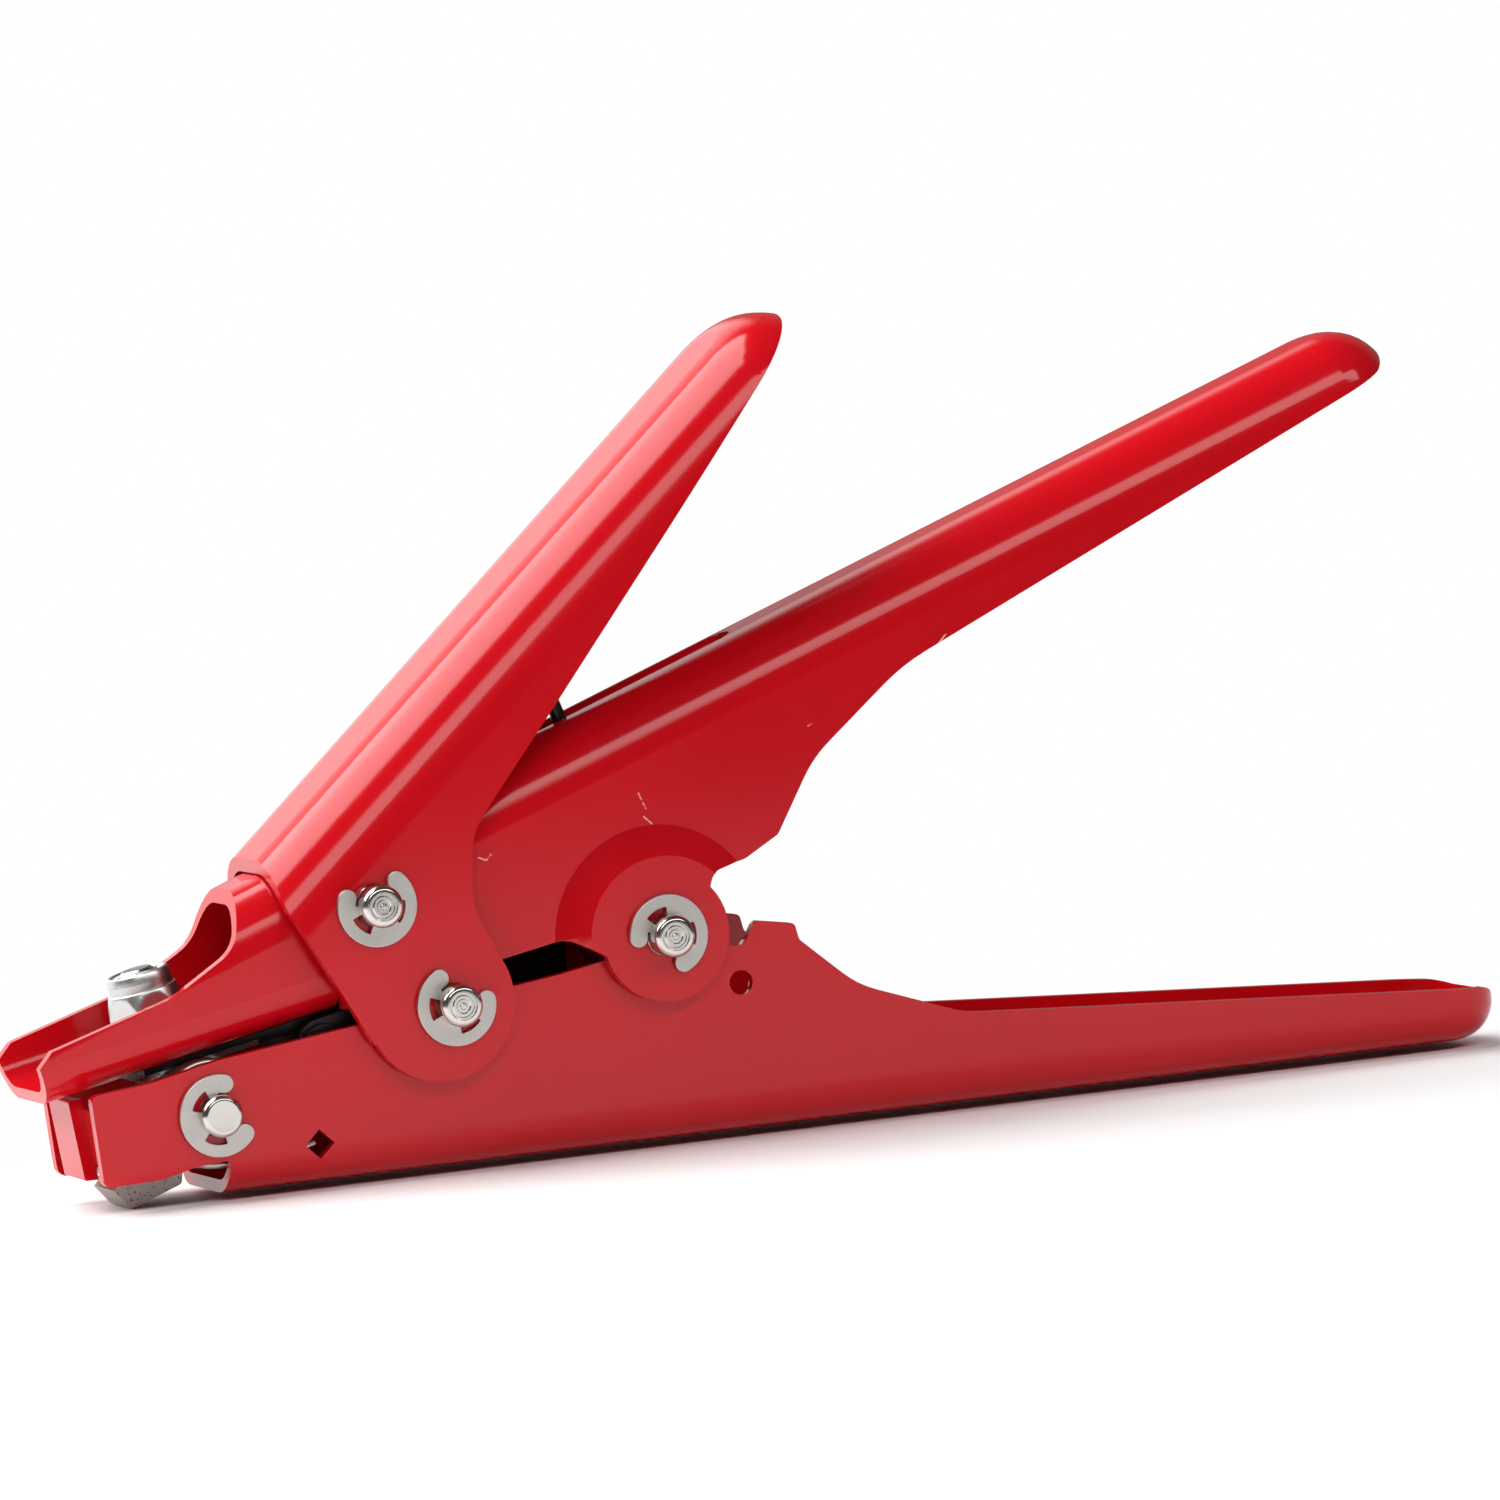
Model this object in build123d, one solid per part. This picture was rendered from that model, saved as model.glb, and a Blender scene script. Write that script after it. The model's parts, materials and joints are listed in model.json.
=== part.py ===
from build123d import *
import math
import os

# Cable-tie tensioning and cutting tool: two long pressed-steel handles that
# tension the tie, and a short third handle that cuts it off.
# +X points to the handle tips, +Z up, Y across the tool; the channel of the
# lower handle lies level, and the tool is drawn with its handles open.
# Outlines are XZ corners (x, z, corner radius), with x measured from the main
# pivot and z from the underside of the lower handle.

# Sheet metal
SHEET = 1.4
BEND = 4.5  # outer radius of the lower handle's and the nose floor's bends
UPPER_BEND = 7.0  # rounder bends of the two crowned handles
CUTTING_BEND = 8.5
TIP_EXTRA = 2.5  # how much rounder a drawn handle end is in plan than its bend
UPPER_HALF = 9.0  # half widths over the outside of the walls
LOWER_HALF = 10.0
CUTTING_HALF = 11.9
BULGE_HALF = 11.8  # upper handle where it steps out over the lower one

# Pivots (x, z)
MAIN = (0.0, 23.5)
CUTTER = (-34.1, 30.6)
LINK = (-25.8, 18.5)
PAWL = (-54.0, 9.1)
BLADE = (-40.0, 15.2)

# Handle directions and crown lines
UPPER_SLOPE = 19.9
UPPER_CROWN = (-4.5, 49.3)
CUTTING_SLOPE = 41.5
CUTTING_CROWN = (-45.9, 35.8)
FLOOR_SLOPE = 11.4
FLOOR_FRONT = (-71.8, 12.3)
NOSE_TIP = -73.8
HANDLE_END = 103.3
UPPER_END = 105.9  # lengths of the two crowns from the points above
CUTTING_END = 90.2
TAB_DEPTH = 0.9  # release tab below the lower handle

# Fasteners and small parts
PIN = 2.4  # pin radius
PIN_BORE = 2.45
HEAD, HEAD_THICK = 4.2, 1.2
GROOVE = 1.85
CLIP_OUTER, CLIP_THICK = 4.65, 0.7
CLIP_GAP = 0.1
BOLT_X = -57.0
BOLT_RADIUS = 2.4
NUT_FLATS, NUT_HEIGHT, COLLAR_HEIGHT = 8.0, 4.6, 1.7
WASHER_THICK = 2.2
CUT_ANGLE = 21.5  # travel of the short handle, degrees
CUT_TRAVEL = 5.3  # travel of the blade
TIE_SLOT = (-67.5, -62.5)
TIE_SLOT_HALF = 5.2
ANVIL_HALF = 4.0
JAW_HALF = 4.0
SLIDE_GAP, SLIDE_THICK, SLIDE_HALF = 0.1, 1.3, 4.3
LINK_INNER, LINK_THICK = 5.15, 1.5
BUSH_HALF = 6.5  # cutter bushing, short enough for the crown's bends
LEG_INSET = 0.05  # spring legs start just inside their coil sleeves

HOME = Pos(-(NOSE_TIP + HANDLE_END) / 2, 0, TAB_DEPTH)


def outline(corners):
    """Closed XZ face with a radius at each corner."""
    points = [(x, z) for x, z, _ in corners]
    return make_face(FilletPolyline(points, radius=[r for _, _, r in corners], close=True))


def between(face, y_from, y_to):
    """Solid of an XZ face between two Y positions."""
    placed = Plane.XZ.offset(-y_from) * face
    return extrude(placed, amount=y_to - y_from, dir=(0, 1, 0))


def barrel(centre, radius, y_from, y_to, end_radius=None):
    """Cylinder or cone along Y."""
    end_radius = radius if end_radius is None else end_radius
    height = y_to - y_from
    if abs(end_radius - radius) < 1e-6:
        shape = Cylinder(radius, height)
    else:
        shape = Cone(radius, end_radius, height)
    return Pos(centre[0], (y_from + y_to) / 2, centre[1]) * Rot(-90, 0, 0) * shape


def tube(centre, outer, inner, y_from, y_to):
    """Hollow barrel along Y."""
    return barrel(centre, outer, y_from, y_to) - barrel(centre, inner, y_from - 1, y_to + 1)


def tray(start, end, half, depth, corner, bend):
    """Block along X with its top edges bent and its far end rounded."""
    block = Pos((start + end) / 2, 0, -depth / 2) * Box(end - start, 2 * half, depth)
    block = fillet(block.edges().filter_by(Axis.Z).group_by(Axis.X)[-1], corner)
    rim = block.faces().sort_by(Axis.Z)[-1].edges()
    return fillet(rim.sort_by(Axis.X)[1:], bend)


def channel(start, end, half, depth, bend=BEND):
    """Pressed channel along X, web on top at z = 0, with its far end drawn closed."""
    corner = min(bend + TIP_EXTRA, half - 0.5)
    inner = tray(start - 1, end - SHEET, half - SHEET, depth, corner - SHEET, bend - SHEET)
    return tray(start, end, half, depth, corner, bend) - Pos(0, 0, -SHEET) * inner


def sloped(shape, point, slope):
    """Turns a shape drawn along X up to a slope, through an XZ point."""
    return Pos(point[0], 0, point[1]) * Rot(0, -slope, 0) * shape


def on_line(point, slope, x):
    """Height of a sloped line at x."""
    return point[1] + (x - point[0]) * math.tan(math.radians(slope))


def at_end(point, slope, end, depth):
    """XZ point on a handle's end plane, at a depth below its crown line."""
    c, s = math.cos(math.radians(slope)), math.sin(math.radians(slope))
    return (point[0] + end * c + depth * s, point[1] + end * s - depth * c)


def floor_z(x):
    """Underside of the floor of the upper handle's nose."""
    return on_line(FLOOR_FRONT, FLOOR_SLOPE, x)


def on_floor(shape, x):
    """Places a shape at x on the underside of the nose floor, upright to it."""
    return sloped(shape, (x, floor_z(x)), FLOOR_SLOPE)


def turned(point, centre, angle):
    """XZ point turned clockwise about a centre, as the handles turn when squeezed."""
    c, s = math.cos(math.radians(angle)), math.sin(math.radians(angle))
    x, z = point[0] - centre[0], point[1] - centre[1]
    return (centre[0] + x * c + z * s, centre[1] - x * s + z * c)


# Upper handle: crowned channel with an open, floored nose


def upper_profile():
    """Side view of the upper handle's crowned part."""
    floor_end = -38.0
    corner = at_end(UPPER_CROWN, UPPER_SLOPE, UPPER_END, 5.9)
    above = at_end(UPPER_CROWN, UPPER_SLOPE, UPPER_END, -12.0)
    return outline(
        [
            (-46.4, 40.0, 0),
            (-50.0, 27.2, 5),
            (-57.5, 22.7, 9),
            (-72.2, 18.2, 0.8),
            (NOSE_TIP, floor_z(NOSE_TIP) + BEND, 0),
            (floor_end, floor_z(floor_end) + BEND, 0),
            (floor_end, floor_z(floor_end), 0),
            (-11.2, 24.1, 2.5),
            (-5.0, 20.5, 0),
            (3.0, 20.5, 0),
            (6.2, 30.0, 1.6),
            (11.0, 30.8, 3),
            (15.3, 33.2, 1.0),
            (20.3, 41.4, 14),
            (32.0, 50.8, 25),
            (*corner, 4.0),
            (*above, 0),
        ]
    )


def nose_profile():
    """Side view of the floored nose, up to where the walls are straight."""
    rear = -38.0
    return outline(
        [
            (NOSE_TIP, floor_z(NOSE_TIP) + BEND + 0.01, 0),
            (NOSE_TIP + 1.6, floor_z(NOSE_TIP) - 1.0, 0),
            (rear, floor_z(rear) - 1.0, 0),
            (rear, floor_z(rear) + BEND + 0.01, 0),
        ]
    )


def bulge(side, inset):
    """Dished boss round the main pivot on one side, as deep as the outer face less an inset."""
    rim, plateau = 12.4 - 0.45 * inset, 9.0 - 0.45 * inset
    root, wall, top = UPPER_HALF - SHEET - 0.1, UPPER_HALF - inset, BULGE_HALF - inset
    dish = barrel(MAIN, rim, root, wall) + barrel(MAIN, rim, wall, top, plateau)
    return dish if side > 0 else mirror(dish, Plane.XZ)


def inner_block():
    """Everything between the inner faces of the upper handle's walls."""
    return Pos(MAIN[0], 0, MAIN[1]) * Box(40, 2 * (UPPER_HALF - SHEET), 40)


def crown_slot():
    """Slot along the crown for the cutter spring's leg."""
    start, end, half = -10.0, 20.2, 2.1
    sketch = Pos((start + end) / 2, 0) * SlotOverall(end - start, 2 * half)
    cut = extrude(Pos(0, 0, -SHEET - 3) * sketch, amount=SHEET + 5)
    return sloped(cut, UPPER_CROWN, UPPER_SLOPE)


def tie_slot():
    """Slot in the nose floor that the tie's strap passes down through."""
    start, end = TIE_SLOT
    middle = (start + end) / 2
    cut = Box(end - start, 2 * TIE_SLOT_HALF, 8)
    return on_floor(cut, middle)


def upper_handle():
    crown = sloped(channel(-80, UPPER_END, UPPER_HALF, 60, UPPER_BEND), UPPER_CROWN, UPPER_SLOPE)
    profile = upper_profile() + Pos(*MAIN) * Circle(7.5)
    slab = between(profile, -BULGE_HALF - 1, BULGE_HALF + 1)
    body = crown & slab
    upturned = mirror(channel(-10, 60, UPPER_HALF, 14), Plane.XY)
    floor = sloped(upturned, FLOOR_FRONT, FLOOR_SLOPE)
    body += floor & between(nose_profile(), -UPPER_HALF - 1, UPPER_HALF + 1)
    for side in (-1, 1):
        hollow = bulge(side, SHEET)
        body -= hollow
        body += (bulge(side, 0) - hollow - inner_block()) & slab
    body -= barrel(MAIN, PIN_BORE, -20, 20)
    body -= barrel(CUTTER, PIN_BORE, -20, 20)
    body -= crown_slot()
    body -= tie_slot()
    body -= on_floor(Cylinder(BOLT_RADIUS + 0.05, 12), BOLT_X)
    return body


# Lower handle: level channel, open upwards, with a cut-away nose


def lower_profile():
    """Side view of the lower handle."""
    return outline(
        [
            (-53.6, -2.0, 0),
            (-52.8, 3.9, 0.5),
            (-57.0, 3.6, 3),
            (-61.0, 2.6, 3),
            (-67.8, 2.4, 1.0),
            (-68.5, 12.8, 0.8),
            (-61.6, 13.5, 20),
            (-53.5, 15.2, 12),
            (-12.5, 20.3, 0),
            (-5.0, 21.6, 0),
            (6.0, 21.9, 0),
            (9.6, 21.0, 1.2),
            (11.3, 23.8, 0.7),
            (16.0, 23.0, 0.7),
            (16.4, 21.1, 1.0),
            (23.0, 15.2, 12),
            (36.0, 10.5, 14),
            (HANDLE_END, 5.9, 3.0),
            (HANDLE_END, -2.0, 0),
        ]
    )


def link_notch():
    """Open notch that the link pin sweeps through when the short handle cuts."""
    radius, top = 3.9, 30.0
    last = turned(LINK, CUTTER, CUT_ANGLE)
    notch = Pos(*LINK) * Circle(radius) + Pos(*last) * Circle(radius)
    notch += outline(
        [
            (last[0] - radius, last[1], 0),
            (last[0] - radius + 1, top, 0),
            (LINK[0] + radius, top, 0),
            (LINK[0] + radius, LINK[1], 0),
            (LINK[0], LINK[1] - radius, 0),
            (last[0], last[1] - radius, 0),
        ]
    )
    return between(notch, -LOWER_HALF - 1, LOWER_HALF + 1)


def lower_handle():
    tether_hole, spring_hole = (9.0, 17.0), (-42.4, 4.5)
    upturned = mirror(channel(-80, HANDLE_END, LOWER_HALF, 50), Plane.XY)
    profile = lower_profile() + Pos(*MAIN) * Circle(6.8)
    body = upturned & between(profile, -LOWER_HALF - 1, LOWER_HALF + 1)
    body -= link_notch()
    body -= barrel(MAIN, PIN_BORE, -20, 20)
    body -= barrel(PAWL, PIN_BORE, -20, 20)
    body -= barrel(tether_hole, 1.4, -20, 20)
    diamond = Pos(*spring_hole) * Rot(0, 0, 45) * Rectangle(2.4, 2.4)
    body -= between(diamond, -20, 20)
    return body


# Short cutting handle: crowned channel that straddles both long handles


def cutting_handle():
    corner = at_end(CUTTING_CROWN, CUTTING_SLOPE, CUTTING_END, 3.4)
    above = at_end(CUTTING_CROWN, CUTTING_SLOPE, CUTTING_END, -15.0)
    profile = outline(
        [
            (-46.5, 45.0, 0),
            (-44.2, 31.0, 6),
            (-35.6, 15.0, 0),
            (-27.4, 18.7, 0),
            (-19.2, 21.6, 0),
            (-22.8, 29.5, 8),
            (-22.0, 37.6, 8),
            (-10.6, 51.2, 6),
            (*corner, 3.0),
            (*above, 0),
        ]
    )
    profile += Pos(-27.4, 18.7) * Circle(8.7)
    pressed = channel(-20, CUTTING_END, CUTTING_HALF, 60, CUTTING_BEND)
    crown = sloped(pressed, CUTTING_CROWN, CUTTING_SLOPE)
    body = crown & between(profile, -CUTTING_HALF - 1, CUTTING_HALF + 1)
    body -= barrel(CUTTER, PIN_BORE, -20, 20)
    body -= barrel(LINK, PIN_BORE, -20, 20)
    return body


# Pins, clips and spacers


def clevis_pin(centre, half, tail):
    """Headed pin with a clip groove and a chamfered tail, head on the far side."""
    end = -half - CLIP_GAP - CLIP_THICK - tail
    chamfer_size = 0.5
    pin = barrel(centre, PIN, end + chamfer_size, half)
    pin += barrel(centre, PIN - chamfer_size, end, end + chamfer_size, PIN)
    pin += barrel(centre, HEAD, half, half + HEAD_THICK)
    groove_far = -half - CLIP_GAP + 0.05
    groove_near = groove_far - CLIP_THICK - 0.1
    pin -= tube(centre, PIN + 1, GROOVE, groove_near, groove_far)
    return pin


def wedge(angle_from, angle_to):
    """Sector cutter about the origin between two angles in degrees."""
    reach = 7.0
    angles = [math.radians(angle_from + (angle_to - angle_from) * k / 3) for k in range(4)]
    rim = [(reach * math.cos(a), reach * math.sin(a), 0) for a in angles]
    return outline([(0, 0, 0)] + rim)


def clip_face(opening):
    """E-clip in side view, open towards an angle in degrees: two arms and three prongs."""
    arm_inner, arm_tip, prong_from = 2.55, 58.0, 72.0
    window_outer, window_from, window_to = 3.25, 98.0, 146.0
    arm_middle, arm_half = (CLIP_OUTER + arm_inner) / 2, (CLIP_OUTER - arm_inner) / 2
    clip = Circle(CLIP_OUTER) - Circle(GROOVE + 0.02)
    for side in (-1, 1):
        clip -= Circle(window_outer) & wedge(side * window_from, side * window_to)
        clip -= Circle(arm_inner) & wedge(0, side * prong_from)
        clip -= wedge(0, side * arm_tip)
    for side in (-1, 1):
        tip = math.radians(side * arm_tip)
        clip += Pos(arm_middle * math.cos(tip), arm_middle * math.sin(tip)) * Circle(arm_half)
    return Rot(0, 0, opening) * clip


def e_clip(centre, half, opening):
    near = -half - CLIP_GAP
    return between(Pos(*centre) * clip_face(opening), near - CLIP_THICK, near)


def both_sides(shape):
    """The same piece on both sides of the tool, as separate solids."""
    return Compound(children=[shape, mirror(shape, Plane.XZ)])


def bush(centre, outer, y_from, y_to):
    """Tube on a pivot pin."""
    return tube(centre, outer, PIN_BORE, y_from, y_to)


# Nose parts in the lower handle


def nose_anvil_block():
    """Painted block welded between the lower handle's walls, with a raised front pad."""
    top, bottom, lean = 12.1, 2.9, 1.2
    plate_top, plate_bottom = 10.9, 4.6
    pad_front, plate_front, rear = -69.5, -67.9, -66.4
    inside = LOWER_HALF - SHEET
    plate = outline(
        [
            (plate_front + 0.8 * lean, plate_bottom, 0),
            (rear + 0.8 * lean, plate_bottom, 0),
            (rear, plate_top, 0),
            (plate_front, plate_top, 0),
        ]
    )
    pad = outline(
        [
            (pad_front + lean, bottom, 0.3),
            (plate_front + lean, bottom, 0),
            (plate_front, top, 0),
            (pad_front, top, 0.3),
        ]
    )
    return between(plate, -inside, inside) + between(pad, -ANVIL_HALF, ANVIL_HALF)


def stop_bracket():
    """Plate riveted inside the far wall beside the main pivot, clear of the upper handle."""
    face, inner = UPPER_HALF - SHEET - 0.2, LOWER_HALF - SHEET
    side_view = outline([(-15.5, 14.5, 2), (-6.4, 14.5, 2), (-6.4, 23.2, 1), (-15.5, 23.2, 1)])
    return between(side_view, face - 2.0, face) + barrel((-10.8, 17.2), 1.6, face, inner)


def gripper_pawl():
    """Toothed jaw that pinches the strap against the anvil block, with its release tab."""
    body = outline(
        [
            (-54.5, 12.6, 0),
            (-62.8, 10.9, 1),
            (-64.7, 8.6, 0.3),
            (-64.5, 2.0, 0),
            (-65.1, 1.4, 0),
            (-63.2, -TAB_DEPTH, 0),
            (-57.1, 1.3, 0.5),
            (-56.6, 4.5, 2),
            (-52.0, 6.2, 0),
        ]
    )
    body += Pos(*PAWL) * Circle(3.6)
    jaw = between(body, -JAW_HALF, JAW_HALF)
    first, pitch, count = 2.4, 1.0, 6
    for tooth in range(count):
        z = first + tooth * pitch
        notch = outline([(-65.5, z, 0), (-64.1, z + 0.1, 0), (-65.5, z + 0.85 * pitch, 0)])
        jaw -= between(notch, -JAW_HALF - 1, JAW_HALF + 1)
    return jaw - barrel(PAWL, PIN_BORE, -20, 20)


# Springs: each is a coil sleeve with its two legs


def leg(wire, points):
    """Straight spring leg with rounded bends, through XYZ points."""
    path = FilletPolyline(points, radius=wire) if len(points) > 2 else Line(points)
    return sweep(Plane(path @ 0, z_dir=path % 0) * Circle(wire / 2 - LEG_INSET), path=path)


def level(y, points):
    """XZ points placed at one Y."""
    return [(x, y, z) for x, z in points]


def tangent_point(centre, radius, point, side):
    """Where a straight leg from a point runs onto its coil, on one of the two sides."""
    dx, dz = point[0] - centre[0], point[1] - centre[1]
    angle = math.atan2(dz, dx) + side * math.acos(radius / math.hypot(dx, dz))
    return (centre[0] + radius * math.cos(angle), centre[1] + radius * math.sin(angle))


def torsion_spring(centre, coil, wire, y_from, y_to, legs):
    shape = tube(centre, coil, coil - wire, y_from, y_to)
    for points in legs:
        shape += leg(wire, points)
    return shape


def handle_spring():
    """Return spring of the long handles, round the main bushing."""
    coil, wire, half = 5.4, 1.5, 5.5
    mean, run = coil - wire / 2, half - wire / 2
    upper_end, lower_end = (9.0, 51.0), (24.0, 2.5)
    upper = level(run, [tangent_point(MAIN, mean, upper_end, 1), upper_end])
    lower = level(-run, [tangent_point(MAIN, mean, lower_end, -1), lower_end])
    return torsion_spring(MAIN, coil, wire, -half, half, [upper, lower])


def cutter_spring():
    """Return spring of the short handle, its long leg rising through the crown slot."""
    coil, wire, near = 5.0, 1.7, -4.9
    rise, slope = 21.0, math.radians(UPPER_SLOPE)
    foot = (-4.7, 43.0)
    tip = (foot[0] - rise * math.sin(slope), foot[1] + rise * math.cos(slope))
    top = CUTTER[1] + coil - wire / 2
    side = CUTTER[0] - coil + wire / 2
    long_leg = level(0, [(CUTTER[0], top), (-28.0, top), foot, tip])
    short_leg = level(near + wire / 2, [(side, CUTTER[1]), (side, 21.8)])
    return torsion_spring(CUTTER, coil, wire, near, wire / 2, [long_leg, short_leg])


def pawl_spring():
    """Spring that closes the gripper, beside it on the pawl pin; one leg hooks in behind it."""
    coil, wire, near, far = 6.2, 0.9, -8.2, -4.5
    bottom = PAWL[1] - coil + wire / 2
    anchor = level(near + wire / 2, [(PAWL[0], bottom), (-47.0, bottom), (-42.4, 4.5)])
    hook_x, hook_y = -55.9, far - wire / 2
    push = [(PAWL[0], hook_y, bottom), (hook_x, hook_y, bottom), (hook_x, -1.0, bottom)]
    return torsion_spring(PAWL, coil, wire, near, far, [anchor, push])


# Cutter train under the nose floor


def rounded_slot(radius, height):
    """Slot cutter that lets the blade travel past the guide bolt, along X from the bolt."""
    length = CUT_TRAVEL + 2 * radius
    return Pos(CUT_TRAVEL / 2, 0, -height / 2) * extrude(SlotOverall(length, 2 * radius), amount=height)


def slab_x(x_from, x_to, half, z_from, z_to):
    """Box from its X and Z limits, centred in Y."""
    size = Box(x_to - x_from, 2 * half, z_to - z_from)
    return Pos((x_from + x_to) / 2, 0, (z_from + z_to) / 2) * size


def blade_slide():
    """Carrier under the floor: slotted plate, stepped for the blade, with a lug for the links."""
    front, step, rear = -3.6, 10.2, 20.6
    top, bottom = -SLIDE_GAP, -SLIDE_GAP - SLIDE_THICK
    plate = slab_x(front, step, SLIDE_HALF, top - 0.7, top)
    plate += slab_x(step, rear, SLIDE_HALF, bottom, top)
    plate -= rounded_slot(BOLT_RADIUS + 0.1, 10)
    for side in (-1, 1):
        plate -= Pos(9.0, side * 2.4, 0) * Cylinder(0.7, 10)
    lug = outline([(-43.2, 17.0, 0), (-43.2, 12.3, 2), (-37.0, 12.3, 2), (-37.0, 18.2, 0)])
    body = on_floor(plate, BOLT_X) + between(lug, -SLIDE_HALF, SLIDE_HALF)
    return body - barrel(BLADE, 1.5, -20, 20)


def cutter_blade():
    """Hardened blade riveted into the step of the carrier, its front edge bevelled."""
    edge, rear = -5.1, 10.2
    top, bottom = -SLIDE_GAP - 0.7, -SLIDE_GAP - SLIDE_THICK
    side_view = outline([(edge, top, 0), (edge + 1.2, bottom, 0), (rear, bottom, 0), (rear, top, 0)])
    blade = between(side_view, -SLIDE_HALF, SLIDE_HALF) - rounded_slot(BOLT_RADIUS + 0.1, 10)
    for side in (-1, 1):
        blade -= Pos(9.0, side * 2.4, 0) * Cylinder(0.7, 10)
    return on_floor(blade, BOLT_X)


def blade_rivets():
    """Two flush rivets through carrier and blade."""
    rivet = Pos(9.0, -2.4, -SLIDE_GAP - SLIDE_THICK / 2) * Cylinder(0.7, SLIDE_THICK)
    return both_sides(on_floor(rivet, BOLT_X))


def blade_pin():
    """Riveted pin that joins the links to the carrier."""
    outer = LINK_INNER + LINK_THICK + 0.2
    pin = barrel(BLADE, 1.5, -outer, outer)
    for side in (-1, 1):
        inner, cap = sorted((side * outer, side * (outer + 0.5)))
        pin += barrel(BLADE, 2.4, inner, cap)
    return pin


def push_link(side):
    """Flat link from the link pin to the blade pin, on one side; its front hole is oversize."""
    radius, loose = 3.0, 0.3
    dx, dz = LINK[0] - BLADE[0], LINK[1] - BLADE[1]
    length, angle = math.hypot(dx, dz), math.degrees(math.atan2(dz, dx))
    bar = Pos(length / 2, 0) * SlotOverall(length + 2 * radius, 2 * radius)
    face = Pos(*BLADE) * Rot(0, 0, angle) * bar
    inner, outer = sorted((side * LINK_INNER, side * (LINK_INNER + LINK_THICK)))
    plate = between(face, inner, outer)
    return plate - barrel(LINK, PIN_BORE, -20, 20) - barrel(BLADE, 1.5 + loose, -20, 20)


# Guide bolt through the nose floor


def guide_bolt():
    """Thin-headed bolt: head under the blade carrier, shank up through the floor."""
    under = -SLIDE_GAP - SLIDE_THICK - 0.1
    end = SHEET + WASHER_THICK + NUT_HEIGHT + COLLAR_HEIGHT + 0.6
    shank = Pos(0, 0, (under + end) / 2) * Cylinder(BOLT_RADIUS, end - under)
    shank = chamfer(shank.edges().group_by(Axis.Z)[-1], 0.4)
    head = Pos(0, 0, under - 0.5) * Cylinder(3.6, 1.0)
    return on_floor(shank + head, BOLT_X)


def guide_washer():
    washer = Cylinder(4.4, WASHER_THICK) - Cylinder(BOLT_RADIUS, WASHER_THICK + 1)
    return on_floor(Pos(0, 0, SHEET + WASHER_THICK / 2) * washer, BOLT_X)


def lock_nut():
    """Hexagon nut with a rounded locking collar."""
    base = SHEET + WASHER_THICK
    hexagon = extrude(RegularPolygon(NUT_FLATS / 2, 6, major_radius=False), amount=NUT_HEIGHT)
    dome = Cone(5.2, 3.9, NUT_HEIGHT, align=(Align.CENTER, Align.CENTER, Align.MIN))
    body = hexagon & dome
    collar = Pos(0, 0, NUT_HEIGHT + COLLAR_HEIGHT / 2) * Cylinder(3.7, COLLAR_HEIGHT)
    collar = fillet(collar.edges().group_by(Axis.Z)[-1], 0.8)
    body += collar
    body -= Cylinder(BOLT_RADIUS, 40)
    return on_floor(Pos(0, 0, base) * body, BOLT_X)


PARTS = {
    "lower_handle": lower_handle(),
    "nose_anvil_block": nose_anvil_block(),
    "stop_bracket": stop_bracket(),
    "main_pivot_pin": clevis_pin(MAIN, BULGE_HALF, 2.4),
    "main_pivot_clip": e_clip(MAIN, BULGE_HALF, 237),
    "main_bushing": bush(MAIN, 3.7, -LOWER_HALF + SHEET, LOWER_HALF - SHEET),
    "handle_spring": handle_spring(),
    "pawl_pin": clevis_pin(PAWL, LOWER_HALF, 1.5),
    "pawl_clip": e_clip(PAWL, LOWER_HALF, 18.5),
    "pawl_spacers": both_sides(bush(PAWL, 3.6, JAW_HALF + 0.1, LOWER_HALF - SHEET)),
    "pawl_spring": pawl_spring(),
    "upper_handle": upper_handle(),
    "cutter_pivot_pin": clevis_pin(CUTTER, CUTTING_HALF, 2.4),
    "cutter_pivot_clip": e_clip(CUTTER, CUTTING_HALF, 104),
    "cutter_bushing": bush(CUTTER, 3.2, -BUSH_HALF, BUSH_HALF),
    "cutter_washers": both_sides(bush(CUTTER, 4.2, UPPER_HALF, CUTTING_HALF - SHEET - 0.1)),
    "guide_bolt": guide_bolt(),
    "guide_washer": guide_washer(),
    "lock_nut": lock_nut(),
    "cutting_handle": cutting_handle(),
    "link_pin": clevis_pin(LINK, CUTTING_HALF, 2.4),
    "link_pin_clip": e_clip(LINK, CUTTING_HALF, 61),
    "link_spacer": bush(LINK, 3.4, -LINK_INNER + 0.05, LINK_INNER - 0.05),
    "cutter_spring": cutter_spring(),
    "near_push_link": push_link(-1),
    "far_push_link": push_link(1),
    "blade_slide": blade_slide(),
    "cutter_blade": cutter_blade(),
    "blade_rivets": blade_rivets(),
    "blade_pin": blade_pin(),
    "gripper_pawl": gripper_pawl(),
}

os.makedirs("parts", exist_ok=True)
for name, shape in PARTS.items():
    export_step(HOME * shape, f"parts/{name}.step")
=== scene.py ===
"""Cable tie tool: finishes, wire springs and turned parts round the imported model."""

import json
import math

import bmesh
import bpy
from mathutils import Matrix, Vector


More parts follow.
